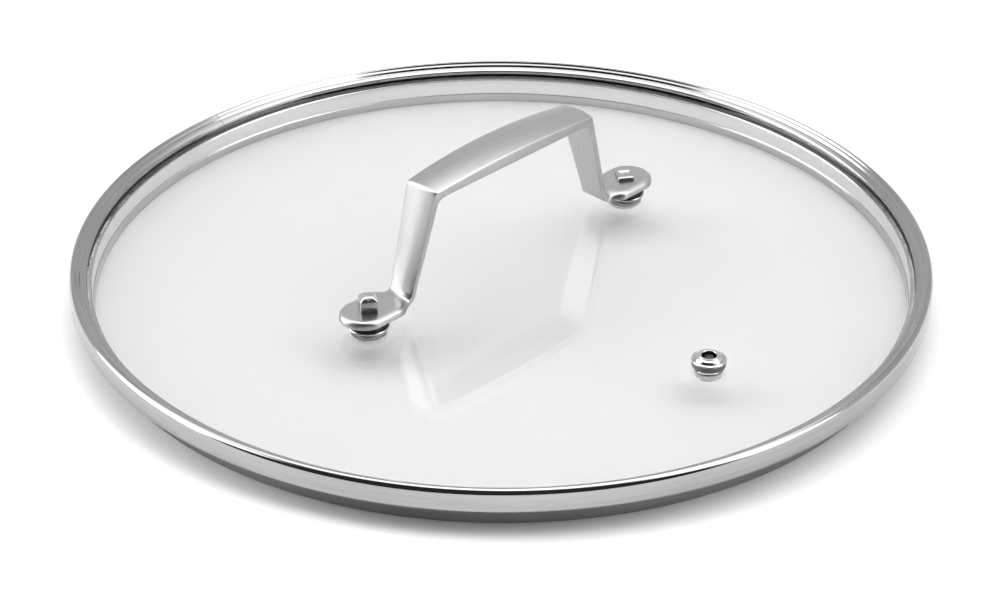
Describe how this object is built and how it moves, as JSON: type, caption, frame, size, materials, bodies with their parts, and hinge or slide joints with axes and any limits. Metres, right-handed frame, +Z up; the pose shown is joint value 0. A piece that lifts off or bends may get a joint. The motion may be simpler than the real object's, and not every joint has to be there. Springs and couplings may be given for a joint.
{
  "type": "glass pan lid",
  "caption": "Round flat glass lid for a pan, with a rolled stainless rim and skirt, a riveted bridge handle and a steam vent.",
  "frame": {"origin": "on the lid's axis, level with the lower edge of the skirt", "axes": "+Z up out of the pan, +X along the handle towards the far foot, the vent on the -Y side"},
  "size_m": [0.29, 0.29, 0.0583],
  "materials": {
    "glass": "clear tempered glass, polished",
    "polished_steel": "bright polished stainless steel",
    "satin_steel": "fine brushed stainless steel",
    "rivet_steel": "plain turned stainless steel",
    "washer_steel": "plain stamped stainless steel",
    "black_rubber": "black heat-proof rubber",
    "pale_rubber": "milky translucent silicone rubber",
    "grey_rubber": "dark grey silicone rubber"
  },
  "bodies": {
    "root": {"glass": "glass", "rim_band": "polished_steel", "handle": "satin_steel", "near_rivet": "rivet_steel", "near_cup": "polished_steel", "near_seal": "black_rubber", "near_gasket": "pale_rubber", "near_washer": "washer_steel", "far_rivet": "rivet_steel", "far_cup": "polished_steel", "far_seal": "black_rubber", "far_gasket": "pale_rubber", "far_washer": "washer_steel", "vent_eyelet": "polished_steel", "vent_gasket": "grey_rubber", "vent_lower_gasket": "pale_rubber", "vent_washer": "washer_steel"}
  },
  "joints": []
}
